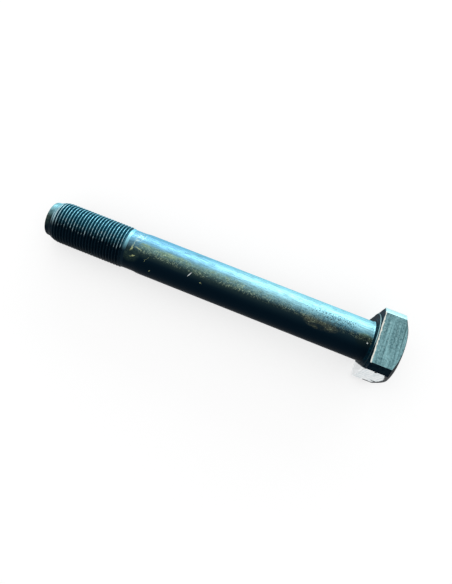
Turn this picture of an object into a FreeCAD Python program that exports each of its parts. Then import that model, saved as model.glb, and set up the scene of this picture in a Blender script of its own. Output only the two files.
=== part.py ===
import FreeCAD, Part
import math
import os

# A square head bolt with a rolled fine thread, in millimetres.
# It is drawn with its axis along +X: the head is at x < 0, the bearing face in the plane x = 0
# and the threaded end at x > 0. At the end it is turned round and laid on the ground.

Vector = FreeCAD.Vector
CENTRE = Vector(0, 0, 0)
AXIS = Vector(1, 0, 0)
LEVEL = Vector(0, 1, 0)
UP = Vector(0, 0, 1)

# Head
across_flats = 29.5
across_lands = 37.9
head_height = 12.9
washer_face_diameter = 28.5
washer_face_height = 0.5
chamfer_circle = 28.6
chamfer_angle = 30.0

# Shank, and the neck that is left at the diameter of the blank that the thread was rolled on
bolt_length = 161.0
shank_diameter = 19.65
under_head_fillet = 1.1
neck_diameter = 19.0
neck_length = 4.7
neck_shoulder = 2.5

# Thread: grooves with flanks 60 degrees apart, sharp at the root and flat over the crests
thread_diameter = 20.0
thread_pitch = 1.5
thread_length = 42.5
flank_angle = 30.0
crest_flat = 0.1875
crest_runout = 2.7
root_runout = 3.6

# Threaded end: a smooth point, then the lead and the first turns, which rise to full height
point_diameter = 16.8
point_end_diameter = 16.3
point_length = 2.9
point_edge_chamfer = 0.5
lead_diameter = 19.25
lead_length = 2.5
first_turns_length = 3.3

# Metal under the thread's root that is drawn with the thread, and how far the outline of the
# thread stands clear of full crests
thread_wall = 1.2
outline_clearance = 0.12


def line(a, b):
    """A straight stretch of a half profile. Its points are (place along the axis, radius)."""
    return Part.LineSegment(Vector(a[0], a[1], 0), Vector(b[0], b[1], 0)).toShape()


def chain(points):
    """Straight stretches that join a list of points."""
    return [line(a, b) for a, b in zip(points, points[1:])]


def hollow_round(start, end, centre):
    """A quarter circle from start to end about a centre that lies outside the metal."""
    corner = (start[0] + end[0] - centre[0], start[1] + end[1] - centre[1])
    middle = [c + (k - c) * math.sqrt(0.5) for c, k in zip(centre, corner)]
    ends = [Vector(p[0], p[1], 0) for p in (start, middle, end)]
    return Part.Arc(*ends).toShape()


def turned(edges):
    """The solid that a closed half profile makes in one turn round the axis."""
    return Part.Face(Part.Wire(edges)).revolve(CENTRE, AXIS, 360)


def thread_end():
    """Where the thread begins to rise out of the neck."""
    return bolt_length - thread_length


def groove_depth():
    """Depth at which the two flanks of a groove meet."""
    return (thread_pitch - crest_flat) / 2 / math.tan(math.radians(flank_angle))


def root_radius():
    return thread_diameter / 2 - groove_depth()


def one_turn_of_helix():
    """One right-hand turn round the axis at the crest diameter."""
    helix = Part.makeHelix(thread_pitch, thread_pitch, thread_diameter / 2)
    helix.rotate(CENTRE, LEVEL, 90)
    return Part.Wire(helix.Edges)


def carried_one_turn(section):
    """The faces that a line in a plane through the axis makes in one turn of the thread."""
    helix = one_turn_of_helix()
    sweep = Part.BRepOffsetAPI.MakePipeShell(helix)
    sweep.setBiNormalMode(AXIS)
    sweep.add(section, helix.OrderedVertexes[0], False, False)
    sweep.build()
    return sweep.shape().Faces


def moved(faces, distance):
    """Copies of some faces, further along the axis."""
    copies = [face.copy() for face in faces]
    for copy in copies:
        copy.translate(AXIS * distance)
    return copies


def threaded_tube(start, turns):
    """A tube with the thread on its outside, closed at both ends.

    One pitch of the profile is carried round by one turn of the helix, and copies of these
    faces one pitch apart make the wall. Each end is closed by the profile itself and by the
    winding face that the side of the profile makes in one turn.
    """
    first = one_turn_of_helix().OrderedVertexes[0].Point
    outwards = Vector(0, first.y, first.z).normalize()
    flank = (thread_pitch - crest_flat) / 2
    crest = thread_diameter / 2
    bore = root_radius() - thread_wall
    outside = [(0, root_radius()), (flank, crest), (flank + crest_flat, crest), (thread_pitch, root_radius())]
    inside = [(0, bore), (thread_pitch, bore)]
    outside = [AXIS * x + outwards * radius for x, radius in outside]
    inside = [AXIS * x + outwards * radius for x, radius in inside]

    wall = carried_one_turn(Part.makePolygon(outside)) + carried_one_turn(Part.makePolygon(inside))
    side = carried_one_turn(Part.makePolygon([inside[0], outside[0]]))
    profile = Part.Face(Part.makePolygon(outside + inside[::-1] + outside[:1]))
    ends = side + [profile]
    faces = ends + moved(ends, turns * thread_pitch)
    for turn in range(turns):
        faces += moved(wall, turn * thread_pitch)
    shell = Part.makeCompound(faces)
    shell.sewShape()
    tube = Part.Solid(shell.Shells[0])
    tube.translate(AXIS * start)
    return tube


def threaded_rod():
    """The thread on a round core. It is longer than the bolt's thread at both ends."""
    spare_turns = 3
    start = thread_end() - spare_turns * thread_pitch
    turns = math.ceil(thread_length / thread_pitch) + 2 * spare_turns
    core_start = start - thread_pitch
    core_length = (turns + 3) * thread_pitch
    core_radius = root_radius() - thread_wall / 2
    core = Part.makeCylinder(core_radius, core_length, AXIS * core_start, AXIS)
    return threaded_tube(start, turns).fuse(core)


def thread_outline():
    """The turned shape that bounds the thread: run-out, full crests, first turns, lead and point."""
    crest = thread_diameter / 2
    above = crest + outline_clearance
    begin = thread_end()
    rise = (crest - root_radius()) / crest_runout
    lead_start = bolt_length - point_length - lead_length
    first_turns_start = lead_start - first_turns_length
    fall = (crest - lead_diameter / 2) / first_turns_length
    return turned(chain([
        (begin, 0),
        (begin, root_radius()),
        (begin + crest_runout + outline_clearance / rise, above),
        (first_turns_start - outline_clearance / fall, above),
        (lead_start, lead_diameter / 2),
        (bolt_length - point_length, point_diameter / 2),
        (bolt_length - point_edge_chamfer, point_end_diameter / 2),
        (bolt_length, point_end_diameter / 2 - point_edge_chamfer),
        (bolt_length, 0),
        (begin, 0),
    ]))


def turned_shank():
    """Washer face, fillet, shank, neck, and the cone on which the grooves run out.

    The cone falls from the neck to below the root of the thread, inside the threaded rod.
    """
    washer = washer_face_diameter / 2
    shank = shank_diameter / 2
    neck = neck_diameter / 2
    buried = -head_height / 2
    neck_end = thread_end() + crest_runout / 2
    neck_start = neck_end - neck_length
    fillet_top = (0, shank + under_head_fillet)
    fillet_end = (under_head_fillet, shank)
    fillet_centre = (under_head_fillet, shank + under_head_fillet)
    edges = chain([(buried, 0), (buried, washer), (0, washer), fillet_top])
    edges.append(hollow_round(fillet_top, fillet_end, fillet_centre))
    edges += chain([
        fillet_end,
        (neck_start - neck_shoulder, shank),
        (neck_start, neck),
        (neck_end, neck),
        (neck_end + root_runout, root_radius() - thread_wall / 4),
        (neck_end + root_runout, 0),
        (buried, 0),
    ])
    return turned(edges)


def square_head():
    """A square block whose corners and outer face are turned.

    The turning leaves a round land at each corner and a chamfer that meets the outer face
    in a circle.
    """
    side = across_flats
    depth = head_height - washer_face_height
    block = Part.makeBox(depth, side, side, Vector(-head_height, -side / 2, -side / 2))
    land = across_lands / 2
    circle = chamfer_circle / 2
    chamfer_depth = (land - circle) * math.tan(math.radians(chamfer_angle))
    turning = turned(chain([
        (-head_height, 0),
        (-head_height, circle),
        (-head_height + chamfer_depth, land),
        (-washer_face_height, land),
        (-washer_face_height, 0),
        (-head_height, 0),
    ]))
    return block.common(turning)


def rest_tilt():
    """Angle in degrees between the axis and the ground, when one flat of the head is down.

    The bolt rests on the inner edge of that flat and on the first full crest of the thread.
    """
    drop = (across_flats - thread_diameter) / 2
    first_full_crest = bolt_length - point_length - lead_length - first_turns_length
    return math.degrees(math.atan(drop / (first_full_crest + washer_face_height)))


def laid_down(bolt):
    """The bolt with its head at +X, one flat on the ground and the threaded end dipping."""
    bolt.rotate(CENTRE, UP, 180)
    bolt.rotate(CENTRE, LEVEL, -rest_tilt())
    return bolt


def square_head_bolt():
    """The whole bolt, one piece of steel."""
    threaded = threaded_rod().common(thread_outline())
    shanked = threaded.fuse(turned_shank())
    return laid_down(shanked.fuse(square_head()).Solids[0])


os.makedirs("parts", exist_ok=True)
bolt = square_head_bolt()
bolt.exportStep("parts/square_head_bolt.step")
print("volume", round(bolt.Volume, 1), "faces", len(bolt.Faces), "closed", bolt.isValid(), "tilt", round(rest_tilt(), 4))
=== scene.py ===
# %% [markdown]
# # A square head bolt, built in Blender with numpy
#
# The object is an old steel bolt: a square head, a long plain shank and a fine thread that was
# rolled onto the end. The lesson builds its surface from a few formulas, gives it a finish of
# black oxide, scuffs and light rust, and lights it on a pale table the way a phone photo shows it.
#
# We start with the frame, which is the exact solid that the bolt was drawn with. Every piece below
# is placed in the frame's own coordinates, in metres, and its sizes are written in millimetres.

# %% Load the frame
import math

import bpy
import numpy as np
from mathutils import Matrix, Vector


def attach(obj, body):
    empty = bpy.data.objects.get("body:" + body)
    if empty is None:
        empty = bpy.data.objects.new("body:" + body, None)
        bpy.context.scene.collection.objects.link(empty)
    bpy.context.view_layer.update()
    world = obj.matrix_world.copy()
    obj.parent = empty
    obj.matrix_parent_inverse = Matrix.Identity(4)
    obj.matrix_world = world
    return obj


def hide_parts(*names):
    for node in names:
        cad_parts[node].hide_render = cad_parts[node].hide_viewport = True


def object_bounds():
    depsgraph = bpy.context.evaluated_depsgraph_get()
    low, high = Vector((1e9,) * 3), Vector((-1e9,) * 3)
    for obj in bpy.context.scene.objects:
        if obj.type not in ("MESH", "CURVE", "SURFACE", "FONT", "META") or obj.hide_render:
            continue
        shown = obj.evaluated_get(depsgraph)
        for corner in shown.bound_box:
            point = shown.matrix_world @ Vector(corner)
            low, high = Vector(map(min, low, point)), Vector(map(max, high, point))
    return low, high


MM = 0.001


def in_mm(box):
    """The two corners of a box in metres, as a text in millimetres."""
    return " to ".join(str([round(value / MM, 2) for value in corner]) for corner in box)


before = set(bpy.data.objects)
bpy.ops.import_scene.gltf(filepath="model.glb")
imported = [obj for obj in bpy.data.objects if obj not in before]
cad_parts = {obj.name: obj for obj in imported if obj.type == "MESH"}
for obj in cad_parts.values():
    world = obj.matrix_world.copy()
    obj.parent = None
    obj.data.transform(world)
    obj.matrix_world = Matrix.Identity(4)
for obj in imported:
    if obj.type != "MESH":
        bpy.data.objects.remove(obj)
CAD_BOX = [list(corner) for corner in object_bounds()]
print("frame from", in_mm(CAD_BOX), "mm")

# %% [markdown]
# ## Where the camera stands
#
# The picture was taken from close by, looking almost straight down with the bolt lying across the
# frame. A camera this close shows the head larger than the thread, which is why the lens and
# the distance have to be right together. The three directions are the rows of the rotation that
# fitted the outline best.

# %% Camera
CAMERA_PLACE = (-0.0580967, -0.0650502, 0.2249662)
CAMERA_RIGHT = (0.9260734, 0.3730604, 0.0566920)
CAMERA_UP = (-0.3743085, 0.8891823, 0.2631501)
CAMERA_BACK = (0.0477613, -0.2649166, 0.9630878)
LENS_MM = 30.82

camera_data = bpy.data.cameras.new("camera")
camera_data.lens = LENS_MM
camera_data.clip_start = 0.01
camera_data.clip_end = 10.0
camera = bpy.data.objects.new("camera", camera_data)
camera_turn = Matrix((CAMERA_RIGHT, CAMERA_UP, CAMERA_BACK)).transposed()
camera.matrix_world = Matrix.Translation(CAMERA_PLACE) @ camera_turn.to_4x4()
bpy.context.scene.collection.objects.link(camera)
bpy.context.scene.camera = camera
print("the camera looks down at", round(math.degrees(math.asin(CAMERA_BACK[2])), 1), "degrees")

# %% [markdown]
# ## The bolt's own axes
#
# A bolt is easiest to describe along its axis: how far along, how far from the axis, and at what
# angle round it. Here "along" starts at the bearing face under the head and grows towards the
# thread, and the angle is 0 on the side next to the viewer and 90 degrees on top. Lying on a table
# the bolt rests on its head and its thread, so its axis dips by the angle that the difference in
# their heights makes over the length between them.

# %% From the bolt's axes to the frame
ACROSS_FLATS = 29.5
THREAD_DIAMETER = 20.0
REST_LENGTH = 152.8
REST_TILT = math.atan((ACROSS_FLATS - THREAD_DIAMETER) / 2 / REST_LENGTH)


def in_frame(points):
    """Points (along, towards the viewer, up) in millimetres, as the bolt lies, in metres.

    Half a turn about the vertical puts the head at +X, and the rest tilt then dips the thread."""
    along, near, up = points[..., 0], points[..., 1], points[..., 2]
    x = -along * math.cos(REST_TILT) - up * math.sin(REST_TILT)
    z = -along * math.sin(REST_TILT) + up * math.cos(REST_TILT)
    return np.stack([x, -near, z], -1) * MM


def round_axis(along, radius, angle):
    """Points at a place along the axis, a radius and an angle round it.

    The radius times the cosine goes towards the viewer, and the radius times the sine goes up."""
    along, radius, angle = np.broadcast_arrays(along, radius, angle)
    return np.stack([along, radius * np.cos(angle), radius * np.sin(angle)], -1)


print("the axis dips", round(math.degrees(REST_TILT), 2), "degrees")

# %% [markdown]
# ## Angles that meet the head's corners
#
# The head is square, but each corner was turned to a round land. If the columns of the surface's
# grid stand exactly where a flat meets a land, the corner stays crisp with few faces. So each
# quarter turn has one fan of angles over the flat, closer together near its ends, and a second,
# narrow fan over the land.

# %% The columns of the grid
ACROSS_LANDS = 37.9
FLAT_STEPS = 34
LAND_STEPS = 10
CROWDING = 0.93
FLAT_HALF = math.acos(ACROSS_FLATS / ACROSS_LANDS)

flat_fan = np.sin(np.linspace(-1, 1, FLAT_STEPS, endpoint=False) * CROWDING * np.pi / 2)
flat_fan = FLAT_HALF * flat_fan / math.sin(CROWDING * np.pi / 2)
land_fan = np.linspace(FLAT_HALF, np.pi / 2 - FLAT_HALF, LAND_STEPS, endpoint=False)
quarter = np.concatenate([flat_fan, land_fan])
ANGLES = np.concatenate([quarter + turn * np.pi / 2 for turn in range(4)])
COLUMNS = len(ANGLES)
print(COLUMNS, "columns")

# %% [markdown]
# ## Roughness of the real surface
#
# Nothing on an old bolt is perfectly flat. We need a smooth random field that we can sample at
# any point, to push an edge in and out by a few tenths of a millimetre. A lattice of random
# values, blended between its points, does that for whole arrays at once.

# %% A smooth random field
TABLE_SIZE = 4096
SCATTER = (73856093, 19349663, 83492791)


def rough_field(points, cell, seed):
    """Random values from -1 to 1 on a cubic lattice of the given cell, blended by 3t^2 - 2t^3.

    Three large primes scatter the lattice over the table of random values."""
    table = np.random.default_rng(seed).uniform(-1, 1, TABLE_SIZE)
    place = points / cell
    base = np.floor(place).astype(np.int64)
    t = place - base
    t = t * t * (3 - 2 * t)
    total = np.zeros(points.shape[:-1])
    for corner in range(8):
        step = np.array([(corner >> k) & 1 for k in range(3)])
        i, j, k = np.moveaxis(base + step, -1, 0)
        key = (i * SCATTER[0] ^ j * SCATTER[1] ^ k * SCATTER[2]) % TABLE_SIZE
        total += table[key] * np.prod(np.where(step, t, 1 - t), axis=-1)
    return total


sample_places = np.random.default_rng(1).normal(0, 9, (999, 3))
print("field spread", round(float(rough_field(sample_places, 2.0, 3).std()), 3))

# %% [markdown]
# ## The side of the head
#
# Seen along the axis the head is a square whose corners lie on a circle. Cut from a block it would
# need a boolean, which leaves ragged faces. As a radius for every angle it is one formula: the
# side is as far out as the flat or as the land, whichever is nearer.

# %% Radius of the head's side
EDGE_POWER = 170.0


def head_side(angle):
    """Radius of the head's side: the flat's distance over the cosine, and the land's radius.

    The reciprocals are added at a high power, which rounds the edge between the two a little."""
    from_flat = (angle + np.pi / 4) % (np.pi / 2) - np.pi / 4
    flat = ACROSS_FLATS / 2 / np.cos(from_flat)
    land = ACROSS_LANDS / 2
    return (flat ** -EDGE_POWER + land ** -EDGE_POWER) ** (-1 / EDGE_POWER)


side = head_side(ANGLES)
print("the head is", round(2 * float(side.max()), 2), "mm across its lands")

# %% [markdown]
# ## A burr under the head
#
# The cutter tore the edge where the top flat meets the bearing face: it is wavy and carries a thin
# pale burr. Paint alone wouldn't stand out from the side, so the burr is real: on the top flat the
# random field pushes the ring of that edge outwards and along, and elsewhere only a little along.

# %% The burr and the waves of the edge
BURR_CELL = 1.3
BURR_FINE_CELL = 0.6
WAVE_CELL = 2.6
BURR_HEIGHT = 0.22
BURR_LEAST = 0.07
BURR_MOST = 0.45
BURR_SWING = 0.2
FINE_SHARE = 0.5
EDGE_SWING = 0.08
WAVE_SWING = 0.3
TOP_FLAT_EDGE = 0.72
TOP_FLAT_FADE = 6

edge_ring = round_axis(0.0, side, ANGLES)
edge_noise = rough_field(edge_ring, BURR_CELL, 11)
edge_noise = edge_noise + FINE_SHARE * rough_field(edge_ring, BURR_FINE_CELL, 12)
on_top_flat = np.clip(TOP_FLAT_FADE * (np.sin(ANGLES) - TOP_FLAT_EDGE), 0, 1)
burr = on_top_flat * np.clip(BURR_HEIGHT + BURR_SWING * edge_noise, BURR_LEAST, BURR_MOST)
waves = WAVE_SWING * on_top_flat * rough_field(edge_ring, WAVE_CELL, 14)
edge_shift = EDGE_SWING * edge_noise + waves
print("burr up to", round(float(burr.max()), 2), "mm")

# %% [markdown]
# ## Head, shank and neck as one turned profile
#
# Going from the middle of the head's outer face to the thread, the outline of the bolt is a chain
# of straight stretches with rounded corners. Only on the head does the chain depend on the angle.
# So one profile, with a radius for every angle, makes the whole turned part, and its rows follow
# every real edge. A primitive cylinder and cube would meet in a seam under the head instead.

# %% The profile's corners
BOLT_LENGTH = 161.0
HEAD_HEIGHT = 12.9
WASHER_DIAMETER = 28.5
WASHER_HEIGHT = 0.5
CHAMFER_CIRCLE = 28.6
CHAMFER_SLOPE = math.tan(math.radians(30))
SHANK_DIAMETER = 19.65
FILLET = 1.1
NECK_DIAMETER = 19.0
SHOULDER_FROM = 112.65
SHOULDER_TO = 115.15
THREAD_FROM = 117.5
BURR_REACH = 0.7
POLE_RING = 0.4

still = np.ones(COLUMNS)
chamfer_start = -HEAD_HEIGHT + (side - CHAMFER_CIRCLE / 2) * CHAMFER_SLOPE
# Each corner: its place along, its radius, how far it is rounded, and the rows that lead up to it.
corners = [
    (-HEAD_HEIGHT * still, POLE_RING * still, 0.0, 0),
    (-HEAD_HEIGHT * still, CHAMFER_CIRCLE / 2 * still, 0.2, 10),
    (chamfer_start, side, 0.22, 4),
    (-WASHER_HEIGHT - BURR_REACH * still, side, 0.0, 24),
    (-WASHER_HEIGHT + edge_shift, side + burr, 0.16, 2),
    (-WASHER_HEIGHT * still, WASHER_DIAMETER / 2 * still, 0.06, 7),
    (0 * still, WASHER_DIAMETER / 2 * still, 0.14, 1),
    (0 * still, SHANK_DIAMETER / 2 * still, FILLET, 3),
    (SHOULDER_FROM * still, SHANK_DIAMETER / 2 * still, 0.8, 60),
    (SHOULDER_TO * still, NECK_DIAMETER / 2 * still, 0.8, 3),
    (THREAD_FROM * still, NECK_DIAMETER / 2 * still, 0.0, 3),
]
print(len(corners), "corners")

# %% [markdown]
# ## Rounded corners without a bevel
#
# No edge of a used bolt is sharp. A Bevel modifier would round all edges alike; here every corner
# of the profile has its own rounding, and the rows go round it on a short curve.

# %% Rows along the profile
CORNER_ROWS = 5


def profile_rows(corners):
    """Rows of (along, radius) through a chain of corners, each one rounded.

    A corner with rounding d is cut d before and after it, and the curve between is quadratic:
    (1-t)^2 times the first point, 2t(1-t) times the corner and t^2 times the last."""
    points = [np.stack(corner[:2]) for corner in corners]
    rows = [points[0][None]]
    last = points[0]
    for k in range(1, len(points)):
        before = points[k - 1] - points[k]
        before = points[k] + corners[k][2] * before / np.hypot(*before)
        t = np.linspace(0, 1, corners[k][3] + 1)[1:, None, None]
        rows.append(last * (1 - t) + before * t)
        last = before
        if corners[k][2]:
            after = points[k + 1] - points[k]
            after = points[k] + corners[k][2] * after / np.hypot(*after)
            t = np.linspace(0, 1, CORNER_ROWS)[1:, None, None]
            rows.append((1 - t) ** 2 * before + 2 * t * (1 - t) * points[k] + t**2 * after)
            last = after
    return np.concatenate(rows)


body = profile_rows(corners)
print("turned part:", len(body), "rows of", COLUMNS)

# %% [markdown]
# ## A rolled thread
#
# Rolling presses the grooves into the blank and raises the crests beside them, so the metal is
# not cut. Its grooves have flanks 60 degrees apart and a round root, and its crests are slightly
# round too. The rows of the grid wind round the bolt with the thread: each row keeps its place in
# the profile and moves one pitch along in a turn. So a dozen rows to a pitch are enough, and every
# crest and root is a clean line.

# %% One pitch of the thread
PITCH = 1.5
FLANK = math.radians(30)
CREST_FLAT = 0.1875
ROOT_RADIUS = 0.2165
CREST_SOFTNESS = 0.025
APEX = THREAD_DIAMETER / 2 - (PITCH - CREST_FLAT) / 2 / math.tan(FLANK)
half_places = np.array([0.0, 0.11, 0.1875, 0.40, 0.60, 0.68, 0.75])
PLACES = np.concatenate([half_places, PITCH - half_places[-2:0:-1]])


def soft_least(a, b, softness):
    """The smaller of two values, rounded where they cross: -s log(e^(-a/s) + e^(-b/s))."""
    low = np.minimum(a, b)
    return low - softness * np.log1p(np.exp(-np.abs(a - b) / softness))


def thread_radius(place):
    """Radius of the thread at a place in the pitch, counted from the middle of a root.

    Near the root it is a circle that touches both flanks, then the flank, then the crest."""
    s = np.minimum(place % PITCH, PITCH - place % PITCH)
    root = APEX + 2 * ROOT_RADIUS - np.sqrt(np.maximum(ROOT_RADIUS**2 - s**2, 0))
    flank = APEX + s / math.tan(FLANK)
    groove = np.where(s < ROOT_RADIUS * math.cos(FLANK), root, flank)
    return soft_least(groove, THREAD_DIAMETER / 2, CREST_SOFTNESS)


root_and_crest = 2 * thread_radius(np.array([0.0, PITCH / 2]))
print("thread from", *np.round(root_and_crest, 2), "mm across")

# %% [markdown]
# ## Where the thread begins and ends
#
# Towards the head the rolling dies let go over two turns, so the grooves grow shallow and the
# crests low until both meet the blank. Towards the end the blank was pointed before it was rolled:
# the thread is cut off by the point's outline, and its first turns have no full crests. Both are
# one more factor or one more outline on the same grid, so nothing has to be cut.

# %% Rows that wind with the thread
RUNOUT_FROM = 119.5
RUNOUT_LENGTH = 2.8
POINT_LENGTH = 2.1
POINT_DIAMETER = 16.8
POINT_END_DIAMETER = 16.4
RISE_LENGTH = 5.6
RISE_RADIUS = 10.6
POINT_FROM = 159.3
OUTLINED_LENGTH = 14.0
OUTLINE_SOFTNESS = 0.04
THREAD_PHASE = 0.35


def smooth_step(t):
    """0 below 0, 1 above 1, and 3t^2 - 2t^3 between."""
    t = np.clip(t, 0, 1)
    return t * t * (3 - 2 * t)


def point_outline(along):
    """Radius of the pointed blank: a slight cone at the end, then an arc up to full size."""
    from_end = BOLT_LENGTH - along
    cone = POINT_DIAMETER + (POINT_END_DIAMETER - POINT_DIAMETER) * (1 - from_end / POINT_LENGTH)
    run = np.clip(POINT_LENGTH + RISE_LENGTH - from_end, 0, RISE_LENGTH)
    arc = THREAD_DIAMETER / 2 - RISE_RADIUS + np.sqrt(RISE_RADIUS**2 - run**2)
    return np.where(from_end < POINT_LENGTH, cone / 2, arc)


turns = math.ceil((POINT_FROM - THREAD_FROM) / PITCH) + 4
row_place = (np.arange(turns)[:, None] * PITCH + PLACES).ravel()
row_start = THREAD_FROM - 2 * PITCH + THREAD_PHASE
winding = row_start + row_place[:, None] + PITCH * ((ANGLES - ANGLES[0]) / (2 * np.pi))
rolled = thread_radius(row_place)[:, None] * still
strength = smooth_step((winding - RUNOUT_FROM) / RUNOUT_LENGTH)
thread = NECK_DIAMETER / 2 + strength * (rolled - NECK_DIAMETER / 2)
outlined = soft_least(thread, point_outline(winding), OUTLINE_SOFTNESS)
thread = np.where(winding > BOLT_LENGTH - OUTLINED_LENGTH, outlined, thread)
print("thread:", len(row_place), "rows over", turns, "turns")

# %% [markdown]
# ## One closed skin
#
# The rows of the thread are cut to the rings where it begins and ends: a point that would lie
# beyond a ring becomes a point of the ring. Column and row meet again after one turn, one pitch
# further along, so the skin has no seam. Three separate tubes would be simpler, but they would
# leave open edges.

# %% Points and their numbers
tip = profile_rows([
    (POINT_FROM * still, point_outline(POINT_FROM * still), 0.0, 0),
    (BOLT_LENGTH * still, POINT_END_DIAMETER / 2 * still, 0.55, 3),
    (BOLT_LENGTH * still, POLE_RING * still, 0.0, 8),
])
points = np.concatenate([
    [[-HEAD_HEIGHT, 0, 0]],
    round_axis(body[:, 0], body[:, 1], ANGLES).reshape(-1, 3),
    round_axis(winding, thread, ANGLES).reshape(-1, 3),
    round_axis(tip[:, 0], tip[:, 1], ANGLES).reshape(-1, 3),
    [[BOLT_LENGTH, 0, 0]],
])


def numbered(first, rows):
    """The numbers of a grid's points, row by row, from the first one on."""
    return first + np.arange(rows * COLUMNS).reshape(rows, COLUMNS)


number_body = numbered(1, len(body))
number_winding = numbered(number_body[-1, -1] + 1, len(row_place))
number_tip = numbered(number_winding[-1, -1] + 1, len(tip))
number_winding = np.where(winding <= THREAD_FROM, number_body[-1], number_winding)
number_winding = np.where(winding >= POINT_FROM, number_tip[0], number_winding)
print(len(points), "points before the spare ones are dropped")

# %% [markdown]
# ## Faces between the rows
#
# Each grid gives its quads as four arrays of numbers side by side. Where the thread's rows were
# cut to a ring, faces that shrank to nothing are left out, and the ones that lost one corner
# become triangles.

# %% Faces
def ring_faces(numbers):
    """Quads between the rows of a grid whose last column meets its first."""
    following = np.roll(numbers, -1, axis=1)
    quads = np.stack([numbers[:-1], following[:-1], following[1:], numbers[1:]], -1)
    return quads.reshape(-1, 4)


def winding_faces(numbers, rows_per_turn):
    """Quads between rows that come back one turn, which is rows_per_turn rows, further on."""
    rows = len(numbers) - rows_per_turn
    following = np.concatenate([numbers[:rows, 1:], numbers[rows_per_turn:, :1]], axis=1)
    quads = np.stack([numbers[:rows - 1], following[:-1], following[1:], numbers[1:rows]], -1)
    return quads.reshape(-1, 4)


def fan_faces(pole, ring):
    """Triangles from a pole to a ring, as quads that name the pole twice."""
    following = np.roll(ring, -1)
    return np.stack([np.full(COLUMNS, pole), following, ring, np.full(COLUMNS, pole)], -1)


head_pole, end_pole = 0, len(points) - 1
faces = np.concatenate([
    fan_faces(head_pole, number_body[0]),
    ring_faces(number_body),
    winding_faces(number_winding, len(PLACES)),
    ring_faces(number_tip),
    fan_faces(end_pole, number_tip[-1])[:, ::-1],
])
sorted_corners = np.sort(faces, axis=1)
distinct = (sorted_corners[:, 1:] != sorted_corners[:, :-1]).sum(axis=1) + 1
repeats = faces == np.roll(faces, -1, axis=1)
has_area = (distinct > 2) & (repeats.sum(axis=1) < 2)
faces, repeats = faces[has_area], repeats[has_area]
print((repeats.sum(axis=1) == 0).sum(), "quads,", (repeats.sum(axis=1) == 1).sum(), "triangles")

# %% [markdown]
# ## Into a mesh
#
# A mesh wants its points, its faces' corners in one long list, and where each face starts in it.
# foreach_set hands over whole arrays, which is far faster than adding faces one by one.

# %% The mesh
used, lookup = np.unique(faces, return_inverse=True)
faces = lookup.reshape(faces.shape)
points = points[used]


def make_mesh(name, points, faces, repeats):
    """A mesh from points in millimetres; a face corner that repeats its neighbour is left out."""
    mesh = bpy.data.meshes.new(name)
    sizes = (~repeats).sum(axis=1)
    loops = faces[~repeats]
    mesh.vertices.add(len(points))
    mesh.vertices.foreach_set("co", in_frame(points).astype(np.float32).ravel())
    mesh.loops.add(len(loops))
    mesh.loops.foreach_set("vertex_index", loops.astype(np.int32))
    mesh.polygons.add(len(faces))
    starts = np.concatenate([[0], np.cumsum(sizes)[:-1]])
    mesh.polygons.foreach_set("loop_start", starts.astype(np.int32))
    mesh.polygons.foreach_set("use_smooth", np.ones(len(faces), bool))
    mesh.update(calc_edges=True)
    mesh.validate()
    return mesh


bolt_mesh = make_mesh("square_head_bolt_skin", points, faces, repeats)
print(len(bolt_mesh.vertices), "points and", len(bolt_mesh.polygons), "faces")

# %% [markdown]
# ## Which finish goes where
#
# The faces know where they lie: how far along the bolt, how far out and on which side. From
# their middles we choose one of five finishes. The four flats were milled, and the rest of the head
# kept its black scale; the shank, the thread and the point each wear in their own way.

# %% The piece and its five finishes
SHANK, THREAD, POINT, FLAT, HEAD = range(5)
HEAD_FINISH_TO = 0.4 * FILLET
POINT_FINISH_FROM = BOLT_LENGTH - 3.1
FLAT_SLACK = 0.09
LAND_MARGIN = 0.1
CHAMFER_MARGIN = 0.3
BEARING_MARGIN = 0.02

middle = points[faces].mean(axis=1)
across = np.hypot(middle[:, 1], middle[:, 2])
sideways = np.abs(middle[:, 1:])
on_flat = np.abs(sideways.max(axis=1) - ACROSS_FLATS / 2) < FLAT_SLACK
on_flat &= sideways.min(axis=1) < ACROSS_FLATS / 2 * math.tan(FLAT_HALF) - LAND_MARGIN
on_flat &= middle[:, 0] < -WASHER_HEIGHT - BEARING_MARGIN
on_flat &= across > CHAMFER_CIRCLE / 2 + CHAMFER_MARGIN
finish = np.full(len(faces), SHANK)
finish[middle[:, 0] < HEAD_FINISH_TO] = HEAD
finish[on_flat] = FLAT
finish[middle[:, 0] > RUNOUT_FROM] = THREAD
finish[middle[:, 0] > POINT_FINISH_FROM] = POINT
bolt_mesh.polygons.foreach_set("material_index", finish.astype(np.int32))

bolt = bpy.data.objects.new("square_head_bolt_skin", bolt_mesh)
bpy.context.scene.collection.objects.link(bolt)
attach(bolt, "root")
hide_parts("square_head_bolt")
print("faces of each finish", np.bincount(finish).tolist())

# %% [markdown]
# ## Small tools for building a finish
#
# A finish is a tree of nodes. Placed by hand it is hard to read and to change, so a few short
# functions add the nodes for us. Every pattern below reads the bolt's own axes in millimetres, so
# a Mapping node first turns Object coordinates back from the way that the bolt lies.

# %% Nodes and arithmetic
def add(tree, kind, settings=None, **inputs):
    """A node of that kind; an input is a value, or another node's output that is linked to it."""
    node = tree.nodes.new("ShaderNode" + kind)
    for key, value in (settings or {}).items():
        setattr(node, key, value)
    for key, value in inputs.items():
        socket = node.inputs[int(key[1:])] if key[1:].isdigit() else node.inputs[key.replace("_", " ")]
        put(tree, socket, value)
    return node


def put(tree, socket, value):
    """Links an output to the socket, or sets the socket's own value."""
    if isinstance(value, bpy.types.NodeSocket):
        tree.links.new(value, socket)
    else:
        socket.default_value = value


def calc(tree, operation, a, b=0.0, c=0.0):
    """One step of arithmetic on values."""
    return add(tree, "Math", {"operation": operation}, i0=a, i1=b, i2=c).outputs[0]


def times(tree, *values):
    """The product of two or more values."""
    product = values[0]
    for value in values[1:]:
        product = calc(tree, "MULTIPLY", product, value)
    return product


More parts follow.
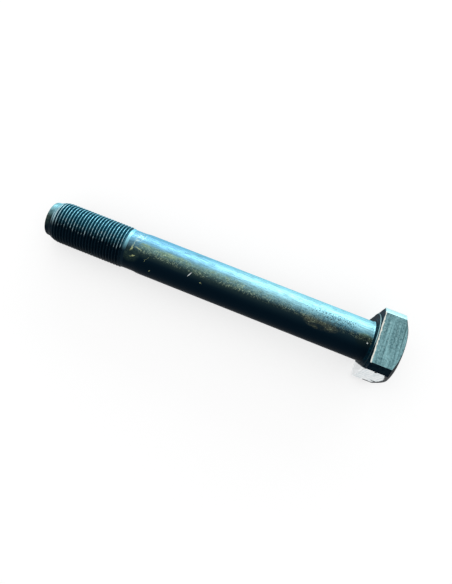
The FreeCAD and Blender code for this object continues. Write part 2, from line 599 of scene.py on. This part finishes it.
def most(tree, *values):
    """The largest of two or more values."""
    largest = values[0]
    for value in values[1:]:
        largest = calc(tree, "MAXIMUM", largest, value)
    return largest


def new_finish(name):
    """A material with a Principled BSDF, its tree, and the bolt's axes in millimetres."""
    material = bpy.data.materials.new(name)
    material.use_nodes = True
    tree = material.node_tree
    place = tree.nodes.new("ShaderNodeTexCoord").outputs["Object"]
    turned = add(tree, "Mapping", Vector=place, Rotation=(0, REST_TILT, math.pi), Scale=(1 / MM,) * 3)
    return material, tree, tree.nodes["Principled BSDF"], turned.outputs[0]


print("the axes are scaled by", round(1 / MM), "so that a pattern's size is in millimetres")

# %% [markdown]
# ## Patterns and marks
#
# Everything on the steel is made of three things: noise, a smooth step that picks a part of it, and
# single marks at given places. A painted image would show the photo's own light from one
# side only, while these patterns go all the way round.

# %% Patterns
def stretch(tree, vector, scale):
    """A vector multiplied part by part, to stretch a pattern."""
    return add(tree, "VectorMath", {"operation": "MULTIPLY"}, i0=vector, i1=scale).outputs[0]


def facing(tree, vector, direction):
    """The part of a vector along a direction, which is their dot product."""
    return add(tree, "VectorMath", {"operation": "DOT_PRODUCT"}, i0=vector, i1=direction).outputs["Value"]


def length(tree, vector):
    """The length of a vector."""
    return add(tree, "VectorMath", {"operation": "LENGTH"}, i0=vector).outputs["Value"]


def noise(tree, vector, scale, detail=3.0, roughness=0.55):
    """A noise pattern with that many cells to the millimetre, around 0.5."""
    return add(tree, "TexNoise", Vector=vector, Scale=scale, Detail=detail, Roughness=roughness).outputs[0]


def band(tree, value, low, high, out_low=0.0, out_high=1.0):
    """A smooth step: out_low below low, out_high above high."""
    node = add(tree, "MapRange", {"interpolation_type": "SMOOTHSTEP"}, Value=value)
    for key, number in (("From Min", low), ("From Max", high), ("To Min", out_low), ("To Max", out_high)):
        put(tree, node.inputs[key], number)
    return node.outputs[0]


def blend(tree, share, a, b):
    """Colour a where the share is 0, and colour b where it is 1."""
    return add(tree, "Mix", {"data_type": "RGBA"}, i0=share, i6=a, i7=b).outputs[2]


def mark(tree, axes, centre, size, turn=0.0):
    """1 inside an ellipsoid with that centre and half sizes, falling to 0 at its skin.

    It may be turned about the vertical, by degrees."""
    turn = (0, 0, math.radians(turn))
    local = add(tree, "Mapping", {"vector_type": "TEXTURE"},
                Vector=axes, Location=centre, Rotation=turn, Scale=size)
    return band(tree, length(tree, local.outputs[0]), 0.6, 1.0, 1.0, 0.0)


def split(tree, axes):
    """The three parts of the axes: along the bolt, towards the viewer, and up."""
    return add(tree, "SeparateXYZ", Vector=axes).outputs


def from_axis(tree, axes):
    """The distance from the bolt's axis: the length of what is left without the part along it."""
    return length(tree, stretch(tree, axes, (0.0, 1.0, 1.0)))


def relief(tree, shader, height, strength, depth):
    """Small bumps that follow a pattern, up to that many millimetres deep."""
    bump = add(tree, "Bump", Height=height, Strength=strength, Distance=depth * MM)
    put(tree, shader.inputs["Normal"], bump.outputs[0])


print("patterns ready")

# %% [markdown]
# ## Black oxide, worn steel and a painted highlight
#
# The bolt is nearly black. Along the top of its far side the oxide is worn through, and the bluish
# steel under it mirrors the pale surroundings: that is the long bright band, partly wear and partly
# a painted highlight. A strong lamp could draw such a band too, but it would burn out under any
# other light. So the band is a share of bare metal in a light colour that depends on the angle round
# the axis, painted full on the side where the light falls.

# %% Colours that the finishes share, and the side of the painted highlight
BLACK = (0.0008, 0.0055, 0.0115, 1)
HIGHLIGHT_STEEL = (0.37, 0.76, 0.87, 1)
SHEEN = (0.42, 0.86, 1.0, 1)
TOP = 90
HIGHLIGHT_STEEL_SIDE = 142


def direction(angle):
    """A vector that gives 1 on the thread's crests at that angle round the axis, in degrees."""
    angle = math.radians(angle)
    return (0.0, 2 * math.cos(angle) / THREAD_DIAMETER, 2 * math.sin(angle) / THREAD_DIAMETER)


def turned_to(tree, axes, angle, low, high, out_low=0.0, out_high=1.0):
    """A smooth step by how squarely the surface is turned to an angle round the axis."""
    return band(tree, facing(tree, axes, direction(angle)), low, high, out_low, out_high)


def bare_and_highlight_along_top(tree, axes, low=0.30, high=0.97):
    """The share of bare metal, wear and painted highlight: full along the top of the far side, none below."""
    return times(tree, turned_to(tree, axes, HIGHLIGHT_STEEL_SIDE, low, high), turned_to(tree, axes, TOP, -0.30, 0.58))


def on_shank(along, angle):
    """A point on the shank, as the marks need it."""
    angle = math.radians(angle)
    radius = SHANK_DIAMETER / 2
    return (along, radius * math.cos(angle), radius * math.sin(angle))


# The side where the painted highlight is full.
print("the rubbed side faces", HIGHLIGHT_STEEL_SIDE, "degrees round the axis")

# %% [markdown]
# ## Dust and rust on the shank
#
# The top of the shank is dull: olive dust lies on it in patches, more of it towards the thread, and
# near the head is one brown patch of rust. One coarse and one fine noise, added, give patches with
# ragged edges. On black oxide the dust has a colour of its own, and on bare steel it is a tint.

# %% Dust, tint and the brown patch
OLIVE = (0.030, 0.054, 0.042, 1)
BROWN = (0.062, 0.060, 0.034, 1)
DUSTY_SIDE = 85
TINTED_SIDE = 89
BROWN_PLACE = (24.0, 78)
BROWN_SIZE = (10.0, 4.5, 3.0)
NECK_PLACE = (117.0, 72)
NECK_SIZE = (6.0, 6.5, 6.5)

shank_steel, tree, shader, axes = new_finish("shank_black_oxide")
along = split(tree, axes)[0]
mottle = noise(tree, stretch(tree, axes, (0.35, 1.0, 1.0)), 0.34, 5.0, 0.62)
grain = noise(tree, stretch(tree, axes, (0.45, 1.0, 1.0)), 2.0, 4.0, 0.7)
patches = calc(tree, "MULTIPLY_ADD", mottle, 0.9, times(tree, grain, 0.8))
patches = times(tree, band(tree, patches, 0.70, 1.30, 0.35, 1.0), band(tree, along, 35.0, 85.0, 0.2, 1.0))
dust = times(tree, patches, turned_to(tree, axes, DUSTY_SIDE, 0.88, 0.99))
neck_dust = mark(tree, axes, on_shank(*NECK_PLACE), NECK_SIZE)
dust = most(tree, dust, times(tree, neck_dust, band(tree, grain, 0.35, 0.65, 0.1, 0.7)))
tint = times(tree, patches, turned_to(tree, axes, TINTED_SIDE, 0.92, 0.99))
brown_patch = times(tree, mark(tree, axes, on_shank(*BROWN_PLACE), BROWN_SIZE),
                    band(tree, mottle, 0.40, 0.60, 0.1, 1.0), band(tree, grain, 0.35, 0.65, 0.3, 1.0))
colour = blend(tree, dust, BLACK, OLIVE)
colour = blend(tree, brown_patch, colour, BROWN)
print("dust and rust:", len(tree.nodes), "nodes")

# %% [markdown]
# ## Specks, hairs and sparks
#
# Fine pale specks and short hairs cross the dusty strip, and a few bright sparks sit beside it.
# Specks are the highest spots of a fine noise. For the hairs the noise is drawn out to short
# strokes and turned, once to each side, which looks like cloth and grit that passed over it.

# %% Specks
SPECK = (0.38, 0.48, 0.33, 1)
SPECKED_SIDE = 87
SPARK_SIDE = 94
HAIR_SIZE = (2.6, 0.30, 0.9)


def hairs(tree, axes, turn, low, high):
    """Short thin strokes on the top, turned by that many degrees from the bolt's length."""
    turned = add(tree, "Mapping", {"vector_type": "TEXTURE"}, Vector=axes, Location=(turn, 0, 0),
                 Rotation=(0, 0, math.radians(turn)), Scale=HAIR_SIZE)
    return band(tree, noise(tree, turned.outputs[0], 1.0, 1.0, 0.5), low, high)


crossed = most(tree, hairs(tree, axes, 62, 0.62, 0.72), hairs(tree, axes, -38, 0.63, 0.73))
specks = calc(tree, "MULTIPLY_ADD", mottle, 0.45, noise(tree, axes, 1.9, 2.0, 0.6))
specks = most(tree, band(tree, specks, 0.80, 0.90), times(tree, crossed, 0.8))
speck_band = times(tree, turned_to(tree, axes, SPECKED_SIDE, 0.935, 0.99),
                   band(tree, along, 15.0, 80.0, 0.45, 0.85))
specks = times(tree, specks, most(tree, speck_band, times(tree, brown_patch, 0.5)))
sparks = times(tree, band(tree, noise(tree, axes, 1.6, 1.0), 0.72, 0.76), band(tree, along, 20.0, 40.0),
               turned_to(tree, axes, SPARK_SIDE, 0.965, 0.99))
colour = blend(tree, specks, colour, SPECK)
print("with specks:", len(tree.nodes), "nodes")

# %% [markdown]
# ## Scuffs
#
# A few larger scuffs can be told apart: a cluster of straw-coloured ones on the neck, two crossed
# ones in the middle of the shank, a bright nick and a bright dot. Noise can't place these, so each
# is a mark of its own. The marks read slightly shaken axes, which makes their outlines ragged.

# %% Scuffs, a nick and a dot
STRAW = (0.54, 0.60, 0.30, 1)
BRIGHT = (0.75, 0.80, 0.78, 1)
SHAKE = (2.4, 1.2, 1.2)
NICK_PLACE = (87.2, 68)
NICK_SIZE = (1.7, 0.20, 1.4)
NICK_TURN = 60
DOT_PLACE = (1.9, 71)
DOT_SIZE = (0.45, 0.35, 0.6)
# Each scuff: its place along and its angle round the axis, its turn in degrees, and its half sizes.
SCUFFS = (
    ((116.9, 77), 82, (2.2, 0.55, 1.2)),
    ((114.0, 83), -12, (2.4, 0.32, 1.2)),
    ((115.6, 59), 20, (1.7, 0.22, 1.6)),
    ((116.4, 96), 80, (2.6, 0.40, 1.6)),
    ((108.4, 63), 60, (2.4, 0.06, 1.8)),
    ((105.8, 33), 0, (0.25, 0.25, 0.25)),
    ((81.3, 57), 0, (0.2, 0.2, 0.2)),
    ((62.9, 87), 70, (2.8, 0.11, 1.2)),
    ((63.6, 90), 38, (1.9, 0.10, 1.2)),
)

shake = add(tree, "TexNoise", Vector=axes, Scale=0.9, Detail=2.0).outputs[1]
shake = add(tree, "VectorMath", {"operation": "SUBTRACT"}, i0=shake, i1=(0.5, 0.5, 0.5)).outputs[0]
shaken = add(tree, "VectorMath", {"operation": "MULTIPLY_ADD"}, i0=shake, i1=SHAKE, i2=axes).outputs[0]
scuffs = most(tree, *(mark(tree, shaken, on_shank(*place), size, turn) for place, turn, size in SCUFFS))
scuffs = times(tree, scuffs, band(tree, grain, 0.36, 0.58, 0.25, 1.0), 0.8)
nick = mark(tree, axes, on_shank(*NICK_PLACE), NICK_SIZE, NICK_TURN)
dot = mark(tree, axes, on_shank(*DOT_PLACE), DOT_SIZE)
colour = blend(tree, scuffs, colour, STRAW)
colour = blend(tree, most(tree, nick, dot, times(tree, sparks, 0.8)), colour, BRIGHT)
print(len(SCUFFS), "scuffs, a nick and a dot")

# %% [markdown]
# ## Wear in the bright band
#
# The bright band isn't even. Fine lines run along it from drawing and handling, its lower border
# breaks up into specks, and near the head it is pitted. All three are patterns that multiply the
# share of bare metal. Next to the head itself the steel stayed smooth, so they fade out there.

# %% Pits, drawn lines and a speckled border
PITTED_SIDE = 99
BORDER_SIDE = 84

pit_zone = times(tree, band(tree, along, 5.0, 12.0), band(tree, along, 16.0, 42.0, 1.0, 0.0),
                 turned_to(tree, axes, PITTED_SIDE, 0.90, 0.98))
pit_field = calc(tree, "MULTIPLY_ADD", pit_zone, 0.15, noise(tree, axes, 2.1, 2.0, 0.6))
pits = band(tree, pit_field, 0.66, 0.73, 1.0, 0.12)
drawn = noise(tree, stretch(tree, axes, (0.12, 1.1, 1.1)), 1.5, 5.0, 0.7)
speckled = band(tree, noise(tree, axes, 1.5, 2.0, 0.6), 0.36, 0.60, 0.62, 1.0)
speckle_zone = times(tree, band(tree, along, 4.0, 12.0, 0.3, 1.0),
                     turned_to(tree, axes, BORDER_SIDE, 0.90, 0.98))
speckled = add(tree, "Mix", i0=speckle_zone, i2=1.0, i3=speckled).outputs[0]
wear = times(tree, pits, band(tree, drawn, 0.36, 0.60, 0.62, 1.0), speckled)
print("with wear:", len(tree.nodes), "nodes")

# %% [markdown]
# ## The shank's bare steel and its painted highlight
#
# Bare steel isn't one colour here. Where the painted highlight fades near the head it is painted deep
# blue, below it next to the head an olive tinge is a painted reflection, dust tints it olive, and it
# is painted darker towards the thread, where the highlight is weaker. Each is one more blend over
# the metal's colour, and the share of bare metal then decides between oxide and steel.

# %% Shank finish
# Colours of the painted highlight: its fading border, its colour towards the thread and an olive reflection
# by the head.
HIGHLIGHT_FADE_BLUE = (0.24, 0.66, 0.86, 1)
HIGHLIGHT_STEEL_BY_THREAD = (0.22, 0.52, 0.72, 1)
TINTED = (0.48, 0.76, 0.52, 1)
WORN_PALE = (0.52, 0.80, 0.88, 1)
OLIVE_REFLECTION = (0.34, 0.60, 0.46, 1)
PALE_PLACE = (115.3, 122)
PALE_SIZE = (3.2, 5.0, 4.0)
OLIVE_REFLECTION_PLACE = (3.5, 74)
OLIVE_REFLECTION_SIZE = (5.0, 4.0, 3.0)

# The painted highlight starts lower and is fuller near the head, and a faint painted tail of it shades off
# round the side.
onset_from = calc(tree, "ADD", band(tree, along, 10.0, 75.0, 0.42, 0.34),
                  band(tree, along, 6.0, 18.0, 0.05, 0.0))
onset_to = band(tree, along, 10.0, 75.0, 0.82, 0.92)
bare_and_highlight = times(tree, bare_and_highlight_along_top(tree, axes, onset_from, onset_to), wear)
bare_and_highlight = calc(tree, "ADD", bare_and_highlight, turned_to(tree, axes, HIGHLIGHT_STEEL_SIDE, -0.1, 0.6, 0.0, 0.024))
bare_and_highlight = times(tree, bare_and_highlight, band(tree, tint, 0.0, 1.0, 1.0, 0.6))
# Painted: deep blue where the highlight fades, near the head.
highlight_fade = times(tree, band(tree, bare_and_highlight, 0.1, 0.9, 1.0, 0.0), band(tree, along, 15.0, 45.0, 1.0, 0.0))
pale = times(tree, mark(tree, axes, on_shank(*PALE_PLACE), PALE_SIZE),
             band(tree, noise(tree, axes, 1.0, 3.0), 0.46, 0.58), 0.8)
# Painted: the highlight's colour is darker towards the thread.
bare = blend(tree, band(tree, along, 40.0, 105.0), HIGHLIGHT_STEEL, HIGHLIGHT_STEEL_BY_THREAD)
bare = blend(tree, highlight_fade, bare, HIGHLIGHT_FADE_BLUE)
bare = blend(tree, band(tree, tint, 0.1, 0.7), bare, TINTED)
bare = blend(tree, pale, bare, WORN_PALE)
# Painted reflection: an olive tinge below the highlight next to the head.
bare = blend(tree, mark(tree, axes, on_shank(*OLIVE_REFLECTION_PLACE), OLIVE_REFLECTION_SIZE), bare, OLIVE_REFLECTION)
put(tree, shader.inputs["Base Color"], blend(tree, bare_and_highlight, colour, bare))
put(tree, shader.inputs["Metallic"], bare_and_highlight)
rough = calc(tree, "MULTIPLY_ADD", mottle, 0.16, 0.34)
put(tree, shader.inputs["Roughness"], calc(tree, "MULTIPLY_ADD", dust, 0.12, rough))
shader.inputs["Specular IOR Level"].default_value = 0.02
shader.inputs["Specular Tint"].default_value = SHEEN
relief(tree, shader, calc(tree, "MULTIPLY_ADD", grain, 0.35, mottle), 0.35, 0.10)
print(shank_steel.name, "has", len(tree.nodes), "nodes")

# %% [markdown]
# ## The thread
#
# Rolled flanks are smooth and dark, and the crests are rubbed. So the distance from the axis
# chooses between the two. Towards the point the crests lie lower, and the arc of the blank, as a
# parabola, is added back before the radius is compared. A few worn crests on top carry painted
# glints.

# %% Where the crests are
CREST_FROM = 9.76
CREST_TO = 9.97
GLINT_FROM = 9.90
GLINT_SIDE = 80

thread_steel, tree, shader, axes = new_finish("thread_black_oxide")
along = split(tree, axes)[0]
radius = from_axis(tree, axes)
grain = noise(tree, axes, 1.1, 4.0, 0.6)
run = calc(tree, "MAXIMUM", calc(tree, "SUBTRACT", along, BOLT_LENGTH - POINT_LENGTH - RISE_LENGTH), 0.0)
radius = calc(tree, "MULTIPLY_ADD", times(tree, run, run), 1 / (2 * RISE_RADIUS), radius)
crest = times(tree, band(tree, radius, CREST_FROM, CREST_TO), band(tree, grain, 0.38, 0.60, 0.5, 1.0))
crest = most(tree, crest, band(tree, along, RUNOUT_FROM + 1.4, RUNOUT_FROM + 2.5, 0.9, 0.0))
# Painted glints on worn crests on top and on the first turns.
glint = times(tree, turned_to(tree, axes, GLINT_SIDE, 0.92, 0.99),
              band(tree, noise(tree, axes, 0.7, 2.0), 0.48, 0.60))
tip_turns = times(tree, band(tree, along, 153.0, 156.0), bare_and_highlight_along_top(tree, axes, 0.0, 0.6))
glint = times(tree, most(tree, glint, tip_turns), band(tree, radius, GLINT_FROM, CREST_TO))
print("crests outside", CREST_FROM, "mm")

# %% [markdown]
# ## Worn crests over dark flanks
#
# The share of bare metal is the same band of wear and painted highlight as on the shank, but full
# only on the crests. Flanks keep a little of it in deep blue, a painted reflection of the crest next
# to them.

# %% Thread finish
CREST_BLACK = (0.004, 0.012, 0.020, 1)
FLANK_REFLECTION = (0.02, 0.30, 0.48, 1)
WORN_CREST_HIGHLIGHT = (0.36, 0.82, 0.96, 1)
GLINT = (0.36, 0.52, 0.56, 1)

# Worn crests with the painted highlight, and a painted reflection on the flanks.
bare_and_highlight = times(tree, bare_and_highlight_along_top(tree, axes, 0.15, 0.90), band(tree, crest, 0.0, 1.0, 0.22, 1.0))
oxide = blend(tree, crest, BLACK, CREST_BLACK)
colour = blend(tree, bare_and_highlight, oxide, blend(tree, crest, FLANK_REFLECTION, WORN_CREST_HIGHLIGHT))
put(tree, shader.inputs["Base Color"], blend(tree, glint, colour, GLINT))
put(tree, shader.inputs["Metallic"], most(tree, bare_and_highlight, times(tree, glint, 0.7)))
put(tree, shader.inputs["Roughness"], calc(tree, "MULTIPLY_ADD", grain, 0.2, 0.26))
shader.inputs["Specular IOR Level"].default_value = 0.03
shader.inputs["Specular Tint"].default_value = SHEEN
relief(tree, shader, grain, 0.3, 0.06)
print(thread_steel.name, "has", len(tree.nodes), "nodes")

# %% [markdown]
# ## The point
#
# The smooth end has no thread and is scuffed to a dull grey with an olive cast. The grey is painted
# on the side where the light falls and black on the other side, as painted light and shade, and the
# shank's painted highlight runs along its top. The slope between the point and the first turn stays
# dark.

# %% Point finish
POINT_DARK = (0.016, 0.036, 0.034, 1)
POINT_LIGHT = (0.062, 0.092, 0.076, 1)
POINT_LIT_SIDE = 130
SLOPE_TO = BOLT_LENGTH - POINT_LENGTH

point_steel, tree, shader, axes = new_finish("point_scuffed_and_painted_light_steel")
along = split(tree, axes)[0]
mottle = noise(tree, axes, 0.6, 4.0, 0.6)
scuffed_and_painted_light = blend(tree, band(tree, mottle, 0.35, 0.65), POINT_DARK, POINT_LIGHT)
# Painted light and shade: grey on the lit side, black on the other side; the slope is kept dark too.
in_light = times(tree, turned_to(tree, axes, POINT_LIT_SIDE, -0.10, 0.70),
                 band(tree, along, SLOPE_TO - 0.4, SLOPE_TO + 0.2, 0.1, 1.0))
bare_and_highlight = times(tree, bare_and_highlight_along_top(tree, axes), band(tree, mottle, 0.30, 0.60, 0.5, 1.0))
colour = blend(tree, bare_and_highlight, blend(tree, in_light, BLACK, scuffed_and_painted_light), HIGHLIGHT_STEEL)
put(tree, shader.inputs["Base Color"], colour)
put(tree, shader.inputs["Metallic"], bare_and_highlight)
put(tree, shader.inputs["Roughness"], calc(tree, "MULTIPLY_ADD", mottle, 0.2, 0.33))
shader.inputs["Specular IOR Level"].default_value = 0.02
shader.inputs["Specular Tint"].default_value = SHEEN
relief(tree, shader, mottle, 0.4, 0.10)
print(point_steel.name, "has", len(tree.nodes), "nodes")

# %% [markdown]
# ## The milled flats
#
# The cutter left the flats lighter than the rest, with fine streaks that run across the bolt. A
# pattern that is drawn out across the bolt gives such streaks on all four sides. Painted glitter,
# small highlights, lies on them, most of it near the bearing edge, and that edge carries a pale,
# ragged burr on top.

# %% Streaks, glitter and the pale burr
MILLED_DARK = (0.062, 0.145, 0.165, 1)
MILLED_LIGHT = (0.255, 0.47, 0.50, 1)
GROOVE = (0.05, 0.11, 0.12, 1)
GLITTER = (0.52, 0.70, 0.72, 1)
CREAM = (0.80, 0.83, 0.76, 1)
HALF_FLATS = ACROSS_FLATS / 2

flat_steel, tree, shader, axes = new_finish("milled_flats")
along, near, up = split(tree, axes)
radius = from_axis(tree, axes)
streaks = noise(tree, stretch(tree, axes, (1.0, 0.06, 0.06)), 1.4, 4.0, 0.6)
mottle = noise(tree, axes, 0.95, 4.0, 0.75)
tone = calc(tree, "MULTIPLY_ADD", streaks, 0.5, times(tree, mottle, 0.5))
grooves = noise(tree, stretch(tree, axes, (1.0, 0.03, 0.03)), 0.75, 2.0)
# Painted highlights: small glints of glitter, most of them near the bearing edge.
glitter = times(tree, band(tree, noise(tree, axes, 1.5, 2.0), 0.63, 0.71),
                band(tree, along, -7.0, -3.0, 0.45, 0.9))
chips = noise(tree, axes, 0.8, 3.0)
ragged = calc(tree, "MULTIPLY_ADD", chips, 1.5, along)
pale_burr = times(tree, band(tree, ragged, -0.36, -0.14),
                  band(tree, up, HALF_FLATS - 0.45, HALF_FLATS - 0.15))
colour = blend(tree, band(tree, tone, 0.36, 0.64), MILLED_DARK, MILLED_LIGHT)
colour = blend(tree, band(tree, grooves, 0.36, 0.42, 0.6, 0.0), colour, GROOVE)
colour = blend(tree, glitter, colour, GLITTER)
colour = blend(tree, pale_burr, colour, CREAM)
print("flats:", len(tree.nodes), "nodes")

# %% [markdown]
# ## The flat next to the viewer
#
# This flat is painted almost as pale as the table, a painted reflection of the table that it mirrors,
# and a dark ragged border is left round it: along the chamfer, at the lower edge and in two spots.
# The chamfer meets the flat in a curve, so the border is measured from there: the chamfer's cone
# gives its place for each radius.

# %% Flat finish
# A near-white colour with paler streaks, a painted reflection of the pale table.
PALE_REFLECTION = (0.95, 0.97, 0.98, 1)
PALE_REFLECTION_STREAK = (0.66, 0.73, 0.76, 1)
CONE_START = -HEAD_HEIGHT - CHAMFER_CIRCLE / 2 * CHAMFER_SLOPE
# Each dark spot that is left: its centre and its half sizes.
SPOTS = (
    ((-4.8, HALF_FLATS, 11.3), (0.6, 1.0, 1.3)),
    ((-9.6, HALF_FLATS, -6.3), (1.8, 1.0, 0.9)),
)

viewer_side = band(tree, near, HALF_FLATS - 0.3, HALF_FLATS - 0.1)
chamfer_edge = calc(tree, "MULTIPLY_ADD", radius, CHAMFER_SLOPE, CONE_START)
from_edge = calc(tree, "SUBTRACT", ragged, chamfer_edge)
lower_edge = times(tree, band(tree, calc(tree, "MULTIPLY_ADD", chips, 3.0, up), -8.6, -8.3, 1.0, 0.0),
                   band(tree, ragged, -5.2, -4.4, 1.0, 0.0))
spots = most(tree, *(mark(tree, axes, centre, size) for centre, size in SPOTS))
left_dark = calc(tree, "SUBTRACT", 1.0, most(tree, spots, lower_edge))
# Painted reflection: the flat is made almost as pale as the table that it mirrors.
pale_flat_share = times(tree, viewer_side, band(tree, from_edge, 2.1, 2.5), left_dark)
dark_border = calc(tree, "SUBTRACT", viewer_side, pale_flat_share)
pale_flat_reflection = blend(tree, band(tree, tone, 0.36, 0.60), PALE_REFLECTION_STREAK, PALE_REFLECTION)
colour = blend(tree, pale_flat_share, colour, pale_flat_reflection)
put(tree, shader.inputs["Base Color"], blend(tree, dark_border, colour, BLACK))
put(tree, shader.inputs["Metallic"], calc(tree, "MULTIPLY_ADD", dark_border, -0.9, 0.9))
put(tree, shader.inputs["Roughness"], calc(tree, "MULTIPLY_ADD", tone, 0.25, 0.32))
shader.inputs["Specular IOR Level"].default_value = 0.05
relief(tree, shader, calc(tree, "MULTIPLY_ADD", mottle, 0.6, streaks), 0.4, 0.12)
print(flat_steel.name, "has", len(tree.nodes), "nodes")

# %% [markdown]
# ## Scale on the rest of the head
#
# The corner lands, the chamfer and the faces keep the dark scale from the forge, a little bluer on
# the bearing face. It is rubbed off the far land and off the rim of the washer face, which carry a
# painted highlight on the side where the light falls. The lower part of the bearing face, below a
# ragged line, is painted almost as pale as the table, a painted reflection.

# %% Where the scale is rubbed off
# Scale is bluer past these places along the bolt, which is where the bearing face lies.
BEARING_FACE = (-0.75, -0.6)
RIM_RADIUS = WASHER_DIAMETER / 2

head_steel, tree, shader, axes = new_finish("head_black_oxide")
along, near, up = split(tree, axes)
radius = from_axis(tree, axes)
mottle = noise(tree, axes, 0.7, 5.0, 0.65)
rim = calc(tree, "SUBTRACT", band(tree, radius, RIM_RADIUS - 0.2, RIM_RADIUS - 0.05),
           band(tree, radius, RIM_RADIUS + 0.05, RIM_RADIUS + 0.2))
# The rim fades towards the viewer's side: worn edge and painted highlight.
rim = times(tree, rim, band(tree, along, -0.45, -0.3), band(tree, near, 1.0, 5.0, 0.75, 0.05))
# Painted highlight: the far land as bare metal.
far_land = times(tree, band(tree, near, -8.0, -10.0), band(tree, radius, 18.3, 18.7),
                 band(tree, mottle, 0.2, 0.45, 0.6, 1.0))
# Painted reflection: the lower bearing face is pale below a ragged line.
reflection_line = calc(tree, "MULTIPLY_ADD", up, -0.31, calc(tree, "MULTIPLY_ADD", mottle, 1.2, near))
lower_face_reflection = times(tree, band(tree, reflection_line, 11.8, 12.3), band(tree, along, *BEARING_FACE))
lip = times(tree, band(tree, up, HALF_FLATS - 0.20, HALF_FLATS - 0.05), band(tree, along, -1.35, -1.2))
bare_and_highlight = most(tree, rim, far_land)
print("rim of the washer face at", RIM_RADIUS, "mm")

# %% [markdown]
# ## The head's finish
#
# The patterns are laid over each other like coats: scale, bare steel with its painted highlight, the
# pale lip above the burr and the lower face with its painted reflection. Scale is painted darker on
# the viewer's side, where it lies in the shade.

# %% Head finish
SCALE = (0.014, 0.032, 0.038, 1)
FACE_SCALE = (0.006, 0.060, 0.095, 1)
HIGHLIGHT_STEEL_LAND = (0.44, 0.72, 0.76, 1)

# Painted shade: the scale turns black towards the viewer's side; the mottle is its own tone.
scale_tone_and_shade = times(tree, band(tree, mottle, 0.35, 0.75), band(tree, near, 2.0, 12.0, 1.0, 0.3))
colour = blend(tree, scale_tone_and_shade, BLACK, blend(tree, band(tree, along, *BEARING_FACE), SCALE, FACE_SCALE))
colour = blend(tree, bare_and_highlight, colour, HIGHLIGHT_STEEL_LAND)
colour = blend(tree, lip, colour, CREAM)
put(tree, shader.inputs["Base Color"], blend(tree, lower_face_reflection, colour, PALE_REFLECTION))
put(tree, shader.inputs["Metallic"], most(tree, bare_and_highlight, lower_face_reflection))
put(tree, shader.inputs["Roughness"], calc(tree, "MULTIPLY_ADD", mottle, 0.25, 0.33))
shader.inputs["Specular IOR Level"].default_value = 0.015
relief(tree, shader, mottle, 0.5, 0.15)
for steel in (shank_steel, thread_steel, point_steel, flat_steel, head_steel):
    bolt_mesh.materials.append(steel)
print(head_steel.name, "has", len(tree.nodes), "nodes;", len(bolt_mesh.materials), "finishes in all")

# %% [markdown]
# ## A pale table
#
# The picture has a white ground with only a soft shadow. A table that is lit until it is white
# would flood the steel with light, so part of its whiteness is a glow that only the camera,
# reflections and glass see, and the rest is paint that takes the light and the shadow.

# %% Table
TABLE_PAINT = 0.40
TABLE_GLOW = 0.65
TABLE_HALF = 3.0
scene = bpy.context.scene
scene.view_settings.view_transform = "Standard"

table_corners = np.array([(-1, -1), (1, -1), (1, 1), (-1, 1)]) * TABLE_HALF
table_corners = np.column_stack([table_corners, np.full(4, CAD_BOX[0][2])])
table_mesh = bpy.data.meshes.new("table")
table_mesh.from_pydata(table_corners.tolist(), [], [(0, 1, 2, 3)])
table = bpy.data.objects.new("table", table_mesh)
scene.collection.objects.link(table)


def seen_directly(tree):
    """1 for rays from the camera, from a reflection or through glass, and 0 for scattered light."""
    path = tree.nodes.new("ShaderNodeLightPath").outputs
    return most(tree, path["Is Camera Ray"], path["Is Glossy Ray"], path["Is Transmission Ray"])


paint = bpy.data.materials.new("table_paint")
paint.use_nodes = True
tree = paint.node_tree
shader = tree.nodes["Principled BSDF"]
shader.inputs["Base Color"].default_value = (TABLE_PAINT, TABLE_PAINT, TABLE_PAINT, 1)
shader.inputs["Roughness"].default_value = 1.0
shader.inputs["Specular IOR Level"].default_value = 0.0
shader.inputs["Emission Color"].default_value = (1, 1, 1, 1)
put(tree, shader.inputs["Emission Strength"], times(tree, seen_directly(tree), TABLE_GLOW))
table_mesh.materials.append(paint)
print("table at", round(CAD_BOX[0][2] / MM, 2), "mm")

# %% [markdown]
# ## Light from a low window
#
# Nearly all the light is a plain, even sky that keeps the shadows open, and the rubbed steel
# mirrors it. One long soft lamp stands low on the far side, like a window across the room. It is
# weak on the table: it brightens the edges that face it and gives the shadow its side.

# %% Lamps and sky
SKY_LIGHT = 0.85
WINDOW_DISTANCE = 0.9
WINDOW_HEIGHT = math.radians(14.0)
WINDOW_SIZE = (1.6, 0.34)
WINDOW_RADIANCE = 2.4
WINDOW_COLOUR = (0.94, 0.99, 1.0)
BOLT_MIDDLE = -0.07

sky = bpy.data.worlds.new("sky")
scene.world = sky
sky.use_nodes = True
tree = sky.node_tree
back = tree.nodes["Background"]
back.inputs["Color"].default_value = (1, 1, 1, 1)
strength = calc(tree, "MULTIPLY_ADD", seen_directly(tree), 1.0 - SKY_LIGHT, SKY_LIGHT)
put(tree, back.inputs["Strength"], strength)

window_data = bpy.data.lights.new("window", "AREA")
window_data.shape = "RECTANGLE"
window_data.size, window_data.size_y = WINDOW_SIZE
window_data.energy = WINDOW_RADIANCE * math.pi * WINDOW_SIZE[0] * WINDOW_SIZE[1]
window_data.color = WINDOW_COLOUR
window = bpy.data.objects.new("window", window_data)
window_far = WINDOW_DISTANCE * math.cos(WINDOW_HEIGHT)
window_up = WINDOW_DISTANCE * math.sin(WINDOW_HEIGHT)
window.location = (BOLT_MIDDLE, window_far, window_up)
window.rotation_euler = (WINDOW_HEIGHT - math.pi / 2, 0, 0)
scene.collection.objects.link(window)
print("window of", round(window_data.energy, 1), "W")
